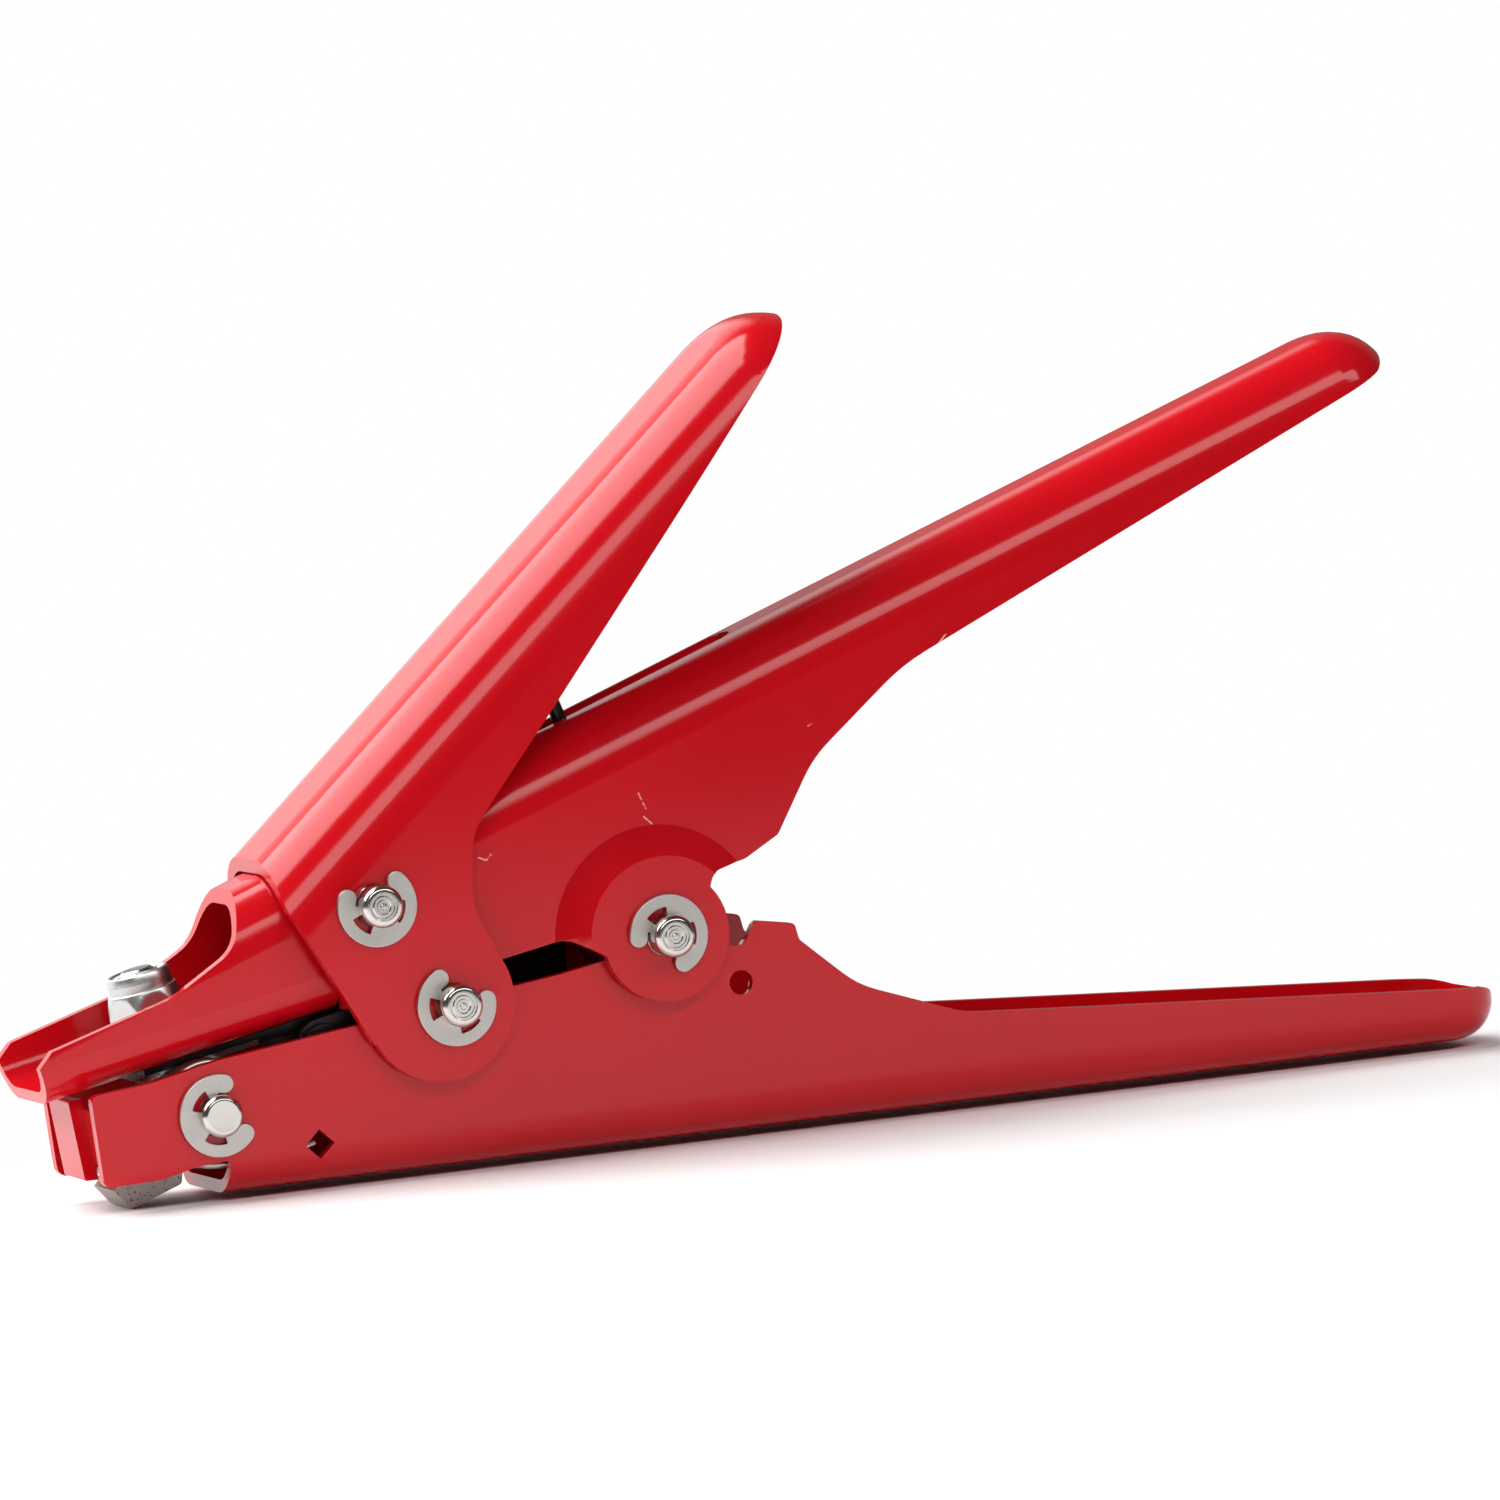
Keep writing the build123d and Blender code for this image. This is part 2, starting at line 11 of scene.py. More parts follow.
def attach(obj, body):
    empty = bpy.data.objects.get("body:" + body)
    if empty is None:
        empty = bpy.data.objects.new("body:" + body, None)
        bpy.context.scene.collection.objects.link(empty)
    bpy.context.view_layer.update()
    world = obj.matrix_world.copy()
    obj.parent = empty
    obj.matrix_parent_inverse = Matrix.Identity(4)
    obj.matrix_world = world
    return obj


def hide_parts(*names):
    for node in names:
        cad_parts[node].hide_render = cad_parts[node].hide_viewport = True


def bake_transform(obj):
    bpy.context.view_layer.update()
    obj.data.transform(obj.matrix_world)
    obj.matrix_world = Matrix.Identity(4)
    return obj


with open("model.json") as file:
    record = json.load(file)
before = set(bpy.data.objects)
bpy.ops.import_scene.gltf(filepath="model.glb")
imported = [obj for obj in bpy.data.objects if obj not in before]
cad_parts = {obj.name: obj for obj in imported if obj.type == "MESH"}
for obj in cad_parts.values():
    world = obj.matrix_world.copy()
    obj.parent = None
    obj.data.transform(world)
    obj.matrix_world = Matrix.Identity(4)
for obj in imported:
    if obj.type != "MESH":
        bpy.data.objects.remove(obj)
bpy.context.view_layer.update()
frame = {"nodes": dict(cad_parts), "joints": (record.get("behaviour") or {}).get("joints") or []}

bl_info = {
    "name": "Tie Tool Finishes",
    "version": (1, 0, 0),
    "blender": (4, 5, 0),
    "location": "View3D > Sidebar > Tie Tool",
    "description": "Enamel, plated pins, coiled springs, threads and a studio for a cable tie tool",
    "category": "Object",
}

MM = 0.001
PIVOTS = {j["name"]: Vector(j["pos_m"]) for j in frame["joints"] if j.get("pos_m")}
MAIN = PIVOTS["handle_pivot"]
CUTTER = PIVOTS["cutter_pivot"]
LINK = PIVOTS["link_pivot"]
PAWL = PIVOTS["gripper_pivot"]
MAIN_HEIGHT = 23.5  # main pivot above the lower handle's underside, mm
FLOOR_SLOPE = math.radians(11.4)  # nose floor of the upper handle
BOLT = (-57.0, 15.284)  # where the guide bolt's axis meets the underside of the nose floor, mm


def at(x, y, z):
    """Point in metres from mm along the tool from the main pivot, across it, and up from its underside."""
    return Vector((MAIN.x + x * MM, y * MM, MAIN.z + (z - MAIN_HEIGHT) * MM))


# Settings


class EnamelSettings(bpy.types.PropertyGroup):
    """Gloss enamel on the pressed handles."""

    colour: bpy.props.FloatVectorProperty(
        name="Enamel Colour", description="Main colour of the enamel", subtype="COLOR",
        size=4, min=0.0, max=1.0, default=(0.60, 0.004, 0.010, 1.0),
    )
    thin_colour: bpy.props.FloatVectorProperty(
        name="Thin Colour", description="Colour where the coat is thinner", subtype="COLOR",
        size=4, min=0.0, max=1.0, default=(0.50, 0.003, 0.008, 1.0),
    )
    roughness: bpy.props.FloatProperty(
        name="Roughness", description="Roughness of the enamel", subtype="FACTOR",
        min=0.0, max=1.0, default=0.11,
    )
    flow_size: bpy.props.FloatProperty(
        name="Flow Mark Size", description="Distance between the coat's gentle waves",
        unit="LENGTH", default=1.6 * MM,
    )
    flow_depth: bpy.props.FloatProperty(
        name="Flow Mark Depth", description="Height of the coat's gentle waves", unit="LENGTH",
        precision=6, default=0.006 * MM,
    )
    edge_radius: bpy.props.FloatProperty(
        name="Edge Radius", description="Rounding of the painted sheet's edges",
        unit="LENGTH", default=0.28 * MM,
    )


class MetalSettings(bpy.types.PropertyGroup):
    """Plated and bare metals."""

    nickel: bpy.props.FloatVectorProperty(
        name="Nickel", description="Colour of the nickel plate", subtype="COLOR",
        size=4, min=0.0, max=1.0, default=(0.74, 0.70, 0.66, 1.0),
    )
    zinc: bpy.props.FloatVectorProperty(
        name="Zinc", description="Colour of the zinc plate", subtype="COLOR",
        size=4, min=0.0, max=1.0, default=(0.70, 0.71, 0.70, 1.0),
    )
    sintered: bpy.props.FloatVectorProperty(
        name="Sintered Steel", description="Colour of the gripper", subtype="COLOR",
        size=4, min=0.0, max=1.0, default=(0.33, 0.30, 0.28, 1.0),
    )
    clip_edge: bpy.props.FloatProperty(
        name="Clip Edge", description="Rounding of the punched clips' edges",
        unit="LENGTH", default=0.09 * MM,
    )


class SpringSettings(bpy.types.PropertyGroup):
    """Wire of the three torsion springs."""

    handle_wire: bpy.props.FloatProperty(
        name="Handle Spring Wire", description="Wire thickness of the long handles' spring",
        unit="LENGTH", default=1.5 * MM,
    )
    cutter_wire: bpy.props.FloatProperty(
        name="Cutter Spring Wire", description="Wire thickness of the short handle's spring",
        unit="LENGTH", default=1.7 * MM,
    )
    pawl_wire: bpy.props.FloatProperty(
        name="Gripper Spring Wire", description="Wire thickness of the gripper's spring",
        unit="LENGTH", default=0.9 * MM,
    )


class StudioSettings(bpy.types.PropertyGroup):
    """Floor, lights and camera."""

    azimuth: bpy.props.FloatProperty(
        name="Azimuth", description="Camera's turn round the tool",
        subtype="ANGLE", default=math.radians(-19.5),
    )
    elevation: bpy.props.FloatProperty(
        name="Elevation", description="Camera's height angle", subtype="ANGLE", default=math.radians(4.2),
    )
    roll: bpy.props.FloatProperty(
        name="Roll", description="Camera's tilt about its own axis",
        subtype="ANGLE", default=math.radians(-4.87),
    )
    distance: bpy.props.FloatProperty(
        name="Distance", description="Camera to aim point",
        subtype="DISTANCE", unit="LENGTH", default=1.306,
    )
    lens: bpy.props.FloatProperty(
        name="Lens", description="Focal length on a 36 mm sensor", subtype="DISTANCE_CAMERA", default=274.3,
    )
    floor_colour: bpy.props.FloatVectorProperty(
        name="Floor", description="Colour of the floor", subtype="COLOR",
        size=4, min=0.0, max=1.0, default=(0.93, 0.93, 0.93, 1.0),
    )


SETTINGS = {
    "tie_tool_enamel": EnamelSettings,
    "tie_tool_metal": MetalSettings,
    "tie_tool_springs": SpringSettings,
    "tie_tool_studio": StudioSettings,
}


# Nodes


class Graph:
    """Node tree that nodes are added to with their settings and sockets in one call."""

    def __init__(self, tree):
        self.tree = tree

    def node(self, kind, settings=None, sockets=None):
        made = self.tree.nodes.new(kind)
        for name, value in (settings or {}).items():
            if name == "stops":
                ramp = made.color_ramp
                for element, (position, colour) in zip(ramp.elements, value):
                    element.position, element.color = position, colour
            else:
                setattr(made, name, value)
        for key, value in (sockets or {}).items():
            if isinstance(value, Wire):
                self.tree.links.new(value.socket, made.inputs[key])
            else:
                made.inputs[key].default_value = value
        return made

    def wire(self, kind, settings=None, sockets=None, output=0):
        return Wire(self, self.node(kind, settings, sockets).outputs[output])

    def vector(self, operation, first, second=(0.0, 0.0, 0.0), output="Vector"):
        return self.wire("ShaderNodeVectorMath", {"operation": operation}, {0: first, 1: second}, output)

    def mix(self, factor, first, second):
        return self.wire("ShaderNodeMix", {"data_type": "RGBA"}, {0: factor, 6: first, 7: second}, 2)

    def noise(self, place, size, detail=2.0, roughness=0.5):
        """Noise from 0 to 1 whose features are about size metres."""
        sockets = {"Vector": place, "Scale": 1 / size, "Detail": detail, "Roughness": roughness}
        return self.wire("ShaderNodeTexNoise", None, sockets, "Fac")

    def rise(self, value, low, high):
        """Smooth step from 0 at low to 1 at high."""
        sockets = {"Value": value, "From Min": low, "From Max": high}
        return self.wire("ShaderNodeMapRange", {"interpolation_type": "SMOOTHSTEP"}, sockets, "Result")

    def bump(self, height, distance):
        """Normal from a height of 0 to 1 that is distance metres deep."""
        sockets = {"Strength": 1.0, "Distance": distance, "Height": height}
        return self.wire("ShaderNodeBump", None, sockets, "Normal")

    def near_line(self, place, start, end, width):
        """1 on the line between two points, 0 beyond width metres from it."""
        run = end - start
        offset = self.vector("SUBTRACT", place, tuple(start))
        along = self.vector("DOT_PRODUCT", offset, tuple(run / run.length_squared), "Value").clamped()
        foot = self.wire("ShaderNodeVectorMath", {"operation": "SCALE"}, {0: tuple(run), "Scale": along})
        gap = self.vector("LENGTH", self.vector("SUBTRACT", offset, foot), output="Value")
        return 1 - self.rise(gap, 0.4 * width, width)


class Wire:
    """Output socket that Python's operators build Math nodes on."""

    def __init__(self, graph, socket):
        self.graph, self.socket = graph, socket

    def maths(self, operation, first, second=0.0):
        return self.graph.wire("ShaderNodeMath", {"operation": operation}, {0: first, 1: second})

    def __add__(self, other):
        return self.maths("ADD", self, other)

    def __radd__(self, other):
        return self.maths("ADD", other, self)

    def __sub__(self, other):
        return self.maths("SUBTRACT", self, other)

    def __rsub__(self, other):
        return self.maths("SUBTRACT", other, self)

    def __mul__(self, other):
        return self.maths("MULTIPLY", self, other)

    def __rmul__(self, other):
        return self.maths("MULTIPLY", other, self)

    def most(self, other):
        return self.maths("MAXIMUM", self, other)

    def sine(self):
        return self.maths("SINE", self)

    def clamped(self):
        return self.graph.wire("ShaderNodeClamp", None, {"Value": self})


# Finishes


def blank_material(name):
    material = bpy.data.materials.new("finish_" + name)
    material.use_nodes = True
    material.node_tree.nodes.clear()
    return material, Graph(material.node_tree)


def shaded(graph, sockets):
    """Principled shader on the material's output."""
    surface = graph.wire("ShaderNodeBsdfPrincipled", None, sockets, "BSDF")
    graph.node("ShaderNodeOutputMaterial", None, {"Surface": surface})


def object_place(graph):
    return graph.wire("ShaderNodeTexCoord", None, None, "Object")


def turned_place(graph, angle, stretch):
    """Object place turned about Y and stretched, for a grain that runs one way."""
    sockets = {"Vector": object_place(graph), "Rotation": (0.0, angle, 0.0), "Scale": stretch}
    return graph.wire("ShaderNodeMapping", None, sockets)


CHIPS = (  # middle and reach in mm of places where the coat is broken
    ((24.0, 5.5, 59.9), 3.2),
    ((30.0, 6.0, 62.0), 2.2),
    ((19.0, 6.2, 58.0), 1.4),
    ((-73.6, -8.4, 12.4), 1.2),
    ((-73.5, -6.0, 11.8), 1.5),
    ((-68.6, -8.9, 2.9), 1.0),
)
SCRATCHES = (  # ends in mm of hairline marks on the near walls
    ((-1.0, -9.0, 39.6), (-0.2, -9.0, 37.6)),
    ((-0.6, -9.0, 36.9), (0.3, -9.0, 36.0)),
    ((-20.6, -9.0, 34.4), (-19.7, -9.0, 34.0)),
    ((-19.7, -9.0, 34.0), (-19.1, -9.0, 34.6)),
    ((36.0, -9.0, 52.2), (37.6, -9.0, 53.8)),
    ((20.0, -9.0, 45.1), (20.9, -9.0, 45.3)),
)


def red_enamel():
    """Gloss enamel on steel sheet, with flow marks, dust nibs, hairline scratches and small chips."""
    enamel = bpy.context.scene.tie_tool_enamel
    material, g = blank_material("red_enamel")
    place = object_place(g)
    flow = g.noise(place, enamel.flow_size, 1.5)
    tone = g.noise(place, 30 * MM, 3.0)
    nibs = g.rise(g.noise(place, 0.5 * MM, 1.0), 0.75, 0.79)
    nibs = nibs * g.rise(g.noise(place, 9 * MM, 1.0), 0.5, 0.62)
    broken = g.rise(g.noise(place, 0.75 * MM, 3.0, 0.6), 0.56, 0.60)
    chipped = None
    for middle, reach in CHIPS:
        gap = g.vector("DISTANCE", place, tuple(at(*middle)), "Value")
        spot = 1 - g.rise(gap, 0.5 * reach * MM, reach * MM)
        chipped = spot if chipped is None else chipped.most(spot)
    chipped = chipped * broken
    scratched = None
    for start, end in SCRATCHES:
        mark = g.near_line(place, at(*start), at(*end), 0.11 * MM)
        scratched = mark if scratched is None else scratched.most(mark)
    scratched = scratched * g.rise(g.noise(place, 0.4 * MM, 2.0), 0.35, 0.5)
    rubbed = turned_place(g, math.radians(25), (1.0, 1.0, 14.0))
    rubs = g.rise(g.noise(rubbed, 5 * MM, 2.0, 0.7), 0.66, 0.72)
    paint = g.mix(tone, tuple(enamel.thin_colour), tuple(enamel.colour))
    paint = g.mix(scratched * 0.8, paint, (0.95, 0.55, 0.55, 1.0))
    paint = g.mix(chipped, paint, (0.10, 0.055, 0.05, 1.0))
    height = flow * 0.6 + nibs * 0.9 - scratched * 1.2 - chipped * 6.0
    shaded(g, {
        "Base Color": paint,
        "Roughness": enamel.roughness + tone * 0.05 + rubs * 0.07 + chipped * 0.4,
        "IOR": 1.42,
        "Normal": g.bump(height, enamel.flow_depth),
    })
    return material


def plated(name, colour, grain, roughness, angle=0.0, stretch=(1.0, 1.0, 1.0), depth=0.004 * MM, hollow_shade=0.8):
    """Metal with a grain and faint stains, its colour lighter on the grain's tops and darker in its
    hollows: painted highlight and painted shade.
    """
    material, g = blank_material(name)
    grained = g.noise(turned_place(g, angle, stretch), grain, 3.0, 0.6)
    stain = g.noise(object_place(g), 4 * MM, 4.0, 0.6)
    # Painted shade: the base colour darkens in the grain's hollows, as well as with the stains.
    shade = tuple(hollow_shade * c for c in colour[:3]) + (1.0,)
    shaded(g, {
        "Base Color": g.mix(grained * 0.6 + stain * 0.4, shade, tuple(colour)),
        "Metallic": 1.0,
        "Roughness": roughness - 0.06 + grained * 0.12 + stain * 0.08,
        "Normal": g.bump(grained, depth),
    })
    return material


def brushed_nickel():
    """Punched clips: satin nickel over a one-way grain."""
    colour = bpy.context.scene.tie_tool_metal.nickel
    grain_angle, grain_stretch = math.radians(-40), (12.0, 1.0, 1.0)
    return plated("brushed_nickel", colour, 0.9 * MM, 0.36, grain_angle, grain_stretch, 0.02 * MM, 0.62)


def turned_nickel():
    """Turned pins: bright nickel over the tool marks of the lathe, which follow the radius."""
    colour = bpy.context.scene.tie_tool_metal.nickel
    material, g = blank_material("turned_nickel")
    radius = g.wire("ShaderNodeAttribute", {"attribute_name": "turned_radius"}, None, "Fac")
    marks = (radius * (2 * math.pi / (0.2 * MM))).sine() * 0.5 + 0.5
    stain = g.noise(object_place(g), 1.6 * MM, 2.0)
    # Painted shade: the base colour darkens in the grooves of the lathe marks, as well as with the stains.
    shade = tuple(0.78 * c for c in colour[:3]) + (1.0,)
    shaded(g, {
        "Base Color": g.mix(marks * 0.35 + stain * 0.4, shade, tuple(colour)),
        "Metallic": 1.0,
        "Roughness": 0.13 + stain * 0.10 + marks * 0.02,
        "Normal": g.bump(marks * 0.3 + stain * 0.5, 0.002 * MM),
    })
    return material


def zinc_plate():
    colour = bpy.context.scene.tie_tool_metal.zinc
    return plated("zinc_plate", colour, 0.5 * MM, 0.30, depth=0.012 * MM, hollow_shade=0.7)


def tool_steel():
    return plated("tool_steel", (0.62, 0.63, 0.65, 1.0), 0.8 * MM, 0.24, 0.0, (1.0, 14.0, 1.0), 0.006 * MM)


def bright_wire():
    return plated("bright_wire", (0.62, 0.61, 0.60, 1.0), 0.3 * MM, 0.26, depth=0.004 * MM, hollow_shade=0.6)


def blackened_gap_shade():
    """Oiled, blackened steel of the links, the stop and the cutter's spring wire, made nearly black: partly
    their own finish, partly painted shade for the gap between the handles.
    """
    material, g = blank_material("blackened_gap_shade")
    mottle = g.noise(object_place(g), 0.8 * MM, 4.0)
    shaded(g, {
        "Base Color": g.mix(mottle, (0.012, 0.012, 0.014, 1.0), (0.05, 0.048, 0.045, 1.0)),
        "Metallic": 0.7,
        "Roughness": 0.28 + mottle * 0.15,
        "Normal": g.bump(mottle, 0.01 * MM),
    })
    return material


def sintered_steel():
    """Pressed and sintered gripper: grey brown, finely pitted, lighter in random clouds."""
    colour = bpy.context.scene.tie_tool_metal.sintered
    material, g = blank_material("sintered_steel")
    place = object_place(g)
    grit = g.noise(place, 0.25 * MM, 3.0, 0.7)
    cloud = g.noise(place, 1.6 * MM, 4.0, 0.65)
    pits = g.rise(g.noise(place, 0.35 * MM, 1.0), 0.64, 0.70)
    light = tuple(min(1.0, 1.5 * c) for c in colour[:3]) + (1.0,)
    base = g.mix(cloud, tuple(colour), light)
    shaded(g, {
        # The pits are painted nearly black: painted shade in the pores.
        "Base Color": g.mix(pits * 0.8, base, (0.06, 0.05, 0.045, 1.0)),
        "Metallic": 0.85,
        "Roughness": 0.42 + grit * 0.2,
        "Normal": g.bump(grit * 0.6 - pits, 0.03 * MM),
    })
    return material


def nylon():
    """Locking ring of the nut."""
    material, g = blank_material("nylon")
    cloud = g.noise(object_place(g), 0.8 * MM, 2.0)
    shaded(g, {
        "Base Color": g.mix(cloud, (0.62, 0.62, 0.60, 1.0), (0.80, 0.79, 0.76, 1.0)),
        "Roughness": 0.42 + cloud * 0.1,
        "Normal": g.bump(cloud, 0.01 * MM),
    })
    return material


FINISHES = {
    make.__name__: make
    for make in (
        red_enamel, brushed_nickel, turned_nickel, zinc_plate, tool_steel,
        bright_wire, blackened_gap_shade, sintered_steel, nylon,
    )
}


def finish(name):
    """The finish of that name, made when it is first asked for."""
    return bpy.data.materials.get("finish_" + name) or FINISHES[name]()


# Shapes


def add_piece(name, mesh, body, finish_name, rides=True):
    """Object at the origin with its place in its mesh, riding on a CAD body."""
    piece = bpy.data.objects.new(name, mesh)
    bpy.context.scene.collection.objects.link(piece)
    if not mesh.materials:
        mesh.materials.append(finish(finish_name))
    if rides:
        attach(piece, body)
    return piece


def shade(mesh, angle=32):
    """Smooth shading that breaks at sharp corners."""
    mesh.shade_smooth()
    mesh.set_sharp_from_angle(angle=math.radians(angle))


def rounded(points, radius, steps=4):
    """Corner points with each inner corner replaced by a short curve."""
    points = [Vector(p) for p in points]
    smooth = [points[0]]
    for before, corner, after in zip(points, points[1:], points[2:]):
        reach = min(radius, 0.45 * (corner - before).length, 0.45 * (after - corner).length)
        start = corner + (before - corner).normalized() * reach
        end = corner + (after - corner).normalized() * reach
        for step in range(steps + 1):
            t = step / steps
            smooth.append(start * (1 - t) ** 2 + corner * 2 * t * (1 - t) + end * t * t)
    smooth.append(points[-1])
    return smooth


def revolved(name, profile, frame_matrix, closed=False, segments=72):
    """Turned shape from (radius, height) points in mm about the frame's Z, keeping its radius."""
    work = bmesh.new()
    radii = []
    rings = []
    for radius, height in profile:
        count = segments if radius > 1e-6 else 1
        ring = []
        for k in range(count):
            a = 2 * math.pi * k / segments
            place = Vector((radius * math.cos(a), radius * math.sin(a), height)) * MM
            ring.append(work.verts.new(place))
            radii.append(radius * MM)
        rings.append(ring)
    pairs = list(zip(rings, rings[1:])) + ([(rings[-1], rings[0])] if closed else [])
    for low, high in pairs:
        for k in range(segments):
            after = k + 1
            corners = [low[k % len(low)], low[after % len(low)]]
            corners += [high[after % len(high)], high[k % len(high)]]
            corners = list(dict.fromkeys(corners))
            if len(corners) > 2:
                work.faces.new(corners)
    bmesh.ops.recalc_face_normals(work, faces=work.faces)
    mesh = bpy.data.meshes.new(name)
    work.to_mesh(mesh)
    work.free()
    mesh.attributes.new("turned_radius", "FLOAT", "POINT").data.foreach_set("value", radii)
    mesh.transform(frame_matrix)
    shade(mesh)
    return mesh


def across(centre, y):
    """Frame whose Z runs across the tool from a point on a pivot, y in mm."""
    turn = Matrix(((1, 0, 0), (0, 0, 1), (0, -1, 0))).to_4x4()
    return Matrix.Translation((centre.x, y * MM, centre.z)) @ turn


def on_bolt():
    """Frame of the guide bolt, Z along its axis from the underside of the nose floor."""
    return Matrix.Translation(at(BOLT[0], 0, BOLT[1])) @ Matrix.Rotation(-FLOOR_SLOPE, 4, "Y")


def smooth_tree():
    """Smooth shading on every face, shared by all the eased parts."""
    tree = bpy.data.node_groups.get("smooth_faces")
    if tree:
        return tree
    g, given = new_tree("smooth_faces", [])
    smooth = g.wire("GeometryNodeSetShadeSmooth", None, {"Geometry": given["Geometry"]})
    g.node("NodeGroupOutput", None, {0: smooth})
    return g.tree


def ease_edges(node, width, angle=35):
    """Rounds a CAD part's sharp edges with modifiers that leave its mesh alone."""
    same_point, same_plane = 0.0005 * MM, math.radians(0.3)
    weld = node.modifiers.new("weld", "WELD")
    weld.merge_threshold = same_point
    flat = node.modifiers.new("flats", "DECIMATE")
    flat.decimate_type, flat.angle_limit = "DISSOLVE", same_plane
    edge = node.modifiers.new("edges", "BEVEL")
    edge.width, edge.segments, edge.limit_method = width, 3, "ANGLE"
    edge.angle_limit = math.radians(angle)
    edge.miter_outer = "MITER_ARC"
    node.modifiers.new("smooth", "NODES").node_group = smooth_tree()
    normals = node.modifiers.new("normals", "WEIGHTED_NORMAL")
    normals.weight, normals.keep_sharp = 50, False


def dress(names, finish_name, edge=0.0):
    """Finish, and eased edges if wanted, for CAD parts that keep their shape."""
    for name in names:
        node = frame["nodes"][name]
        if not node.material_slots:
            node.data.materials.append(None)
        for slot in node.material_slots:
            slot.material = finish(finish_name)
        if edge:
            ease_edges(node, edge)


# Geometry Nodes


def new_tree(name, sizes):
    """Geometry tree with a geometry input, the named sizes, and a geometry output."""
    tree = bpy.data.node_groups.new(name, "GeometryNodeTree")
    tree.interface.new_socket("Geometry", in_out="INPUT", socket_type="NodeSocketGeometry")
    for size, kind, default in sizes:
        tree.interface.new_socket(size, in_out="INPUT", socket_type=kind).default_value = default
    tree.interface.new_socket("Geometry", in_out="OUTPUT", socket_type="NodeSocketGeometry")
    graph = Graph(tree)
    source = graph.node("NodeGroupInput")
    return graph, {socket.name: Wire(graph, socket) for socket in source.outputs if socket.name}


def end_tree(graph, shape, finish_name):
    """Realises a tree's instances, gives them their finish and closes the tree."""
    smooth = graph.wire("GeometryNodeSetShadeSmooth", None, {"Geometry": shape})
    real = graph.wire("GeometryNodeRealizeInstances", None, {"Geometry": smooth})
    coat = {"Geometry": real, "Material": finish(finish_name)}
    dressed = graph.wire("GeometryNodeSetMaterial", None, coat)
    graph.node("NodeGroupOutput", None, {0: dressed})
    return graph.tree


def grown(name, tree, values, points=()):
    """Plain mesh that a tree makes from a line of points and its sizes."""
    line = bpy.data.meshes.new(name + "_line")
    line.from_pydata([tuple(p) for p in points], [(k, k + 1) for k in range(len(points) - 1)], [])
    holder = bpy.data.objects.new(name + "_holder", line)
    bpy.context.scene.collection.objects.link(holder)
    modifier = holder.modifiers.new(tree.name, "NODES")
    modifier.node_group = tree
    for item in tree.interface.items_tree:
        if item.in_out == "INPUT" and item.name in values:
            modifier[item.identifier] = values[item.name]
    evaluated = holder.evaluated_get(bpy.context.evaluated_depsgraph_get())
    mesh = bpy.data.meshes.new_from_object(evaluated)
    mesh.name = name
    bpy.data.objects.remove(holder)
    bpy.data.meshes.remove(line)
    return mesh


def wire_tree(finish_name):
    """Round wire swept along a line of points."""
    sizes = [("Wire Diameter", "NodeSocketFloat", 1.0 * MM), ("Sides", "NodeSocketInt", 20)]
    g, given = new_tree("wire_along_line_" + finish_name, sizes)
    curve = g.wire("GeometryNodeMeshToCurve", None, {"Mesh": given["Geometry"]})
    radius = given["Wire Diameter"] * 0.5
    circle = {"Resolution": given["Sides"], "Radius": radius}
    profile = g.wire("GeometryNodeCurvePrimitiveCircle", None, circle)
    sweep = {"Curve": curve, "Profile Curve": profile, "Fill Caps": True}
    return end_tree(g, g.wire("GeometryNodeCurveToMesh", None, sweep), finish_name)


def thread_tree():
    """Screw thread: a ridge wound round a core."""
    sizes = [
        ("Core Radius", "NodeSocketFloat", 2.08 * MM),
        ("Ridge", "NodeSocketFloat", 0.36 * MM),
        ("Pitch", "NodeSocketFloat", 0.8 * MM),
        ("Turns", "NodeSocketFloat", 8.0),
    ]
    g, given = new_tree("screw_thread", sizes)
    core = given["Core Radius"]
    length = given["Pitch"] * given["Turns"]
    spiral = g.wire("GeometryNodeCurveSpiral", None, {
        "Resolution": 48, "Rotations": given["Turns"],
        "Start Radius": core, "End Radius": core, "Height": length,
    })
    triangle = {"Resolution": 3, "Radius": given["Ridge"]}
    profile = g.wire("GeometryNodeCurvePrimitiveCircle", None, triangle)
    sweep = {"Curve": spiral, "Profile Curve": profile, "Fill Caps": True}
    return end_tree(g, g.wire("GeometryNodeCurveToMesh", None, sweep), "zinc_plate")


def bead_tree():
    """Row of weld beads between two points, each a little different."""
    sizes = [
        ("Start", "NodeSocketVector", (0.0, 0.0, 0.0)),
        ("End", "NodeSocketVector", (0.0, 0.0, 0.0)),
        ("Count", "NodeSocketInt", 9),
        ("Bead Radius", "NodeSocketFloat", 0.5 * MM),
        ("Seed", "NodeSocketInt", 3),
    ]
    g, given = new_tree("weld_beads", sizes)
    row = g.wire("GeometryNodeMeshLine", {"mode": "END_POINTS"}, {
        "Count": given["Count"], "Start Location": given["Start"], "Offset": given["End"],
    })
    ball = {"Radius": given["Bead Radius"], "Subdivisions": 3}
    bead = g.wire("GeometryNodeMeshIcoSphere", None, ball, "Mesh")
    turn = g.wire("FunctionNodeRandomValue", {"data_type": "FLOAT_VECTOR"}, {
        "Min": (-0.4, -0.4, -0.4), "Max": (0.4, 0.4, 0.4), "Seed": given["Seed"],
    })
    size = g.wire("FunctionNodeRandomValue", {"data_type": "FLOAT_VECTOR"}, {
        "Min": (0.8, 0.8, 0.75), "Max": (1.1, 1.15, 1.25), "Seed": given["Seed"],
    })
    placed = g.wire("GeometryNodeInstanceOnPoints", None, {
        "Points": row, "Instance": bead, "Rotation": turn, "Scale": size,
    })
    return end_tree(g, placed, "red_enamel")


# Springs


def tangent_angle(centre, mean, point, side):
    """Angle on a coil where a straight leg from a point runs onto it."""
    x, z = point.x - centre.x, point.z - centre.z
    return math.atan2(z, x) + side * math.acos(mean / math.hypot(x, z))


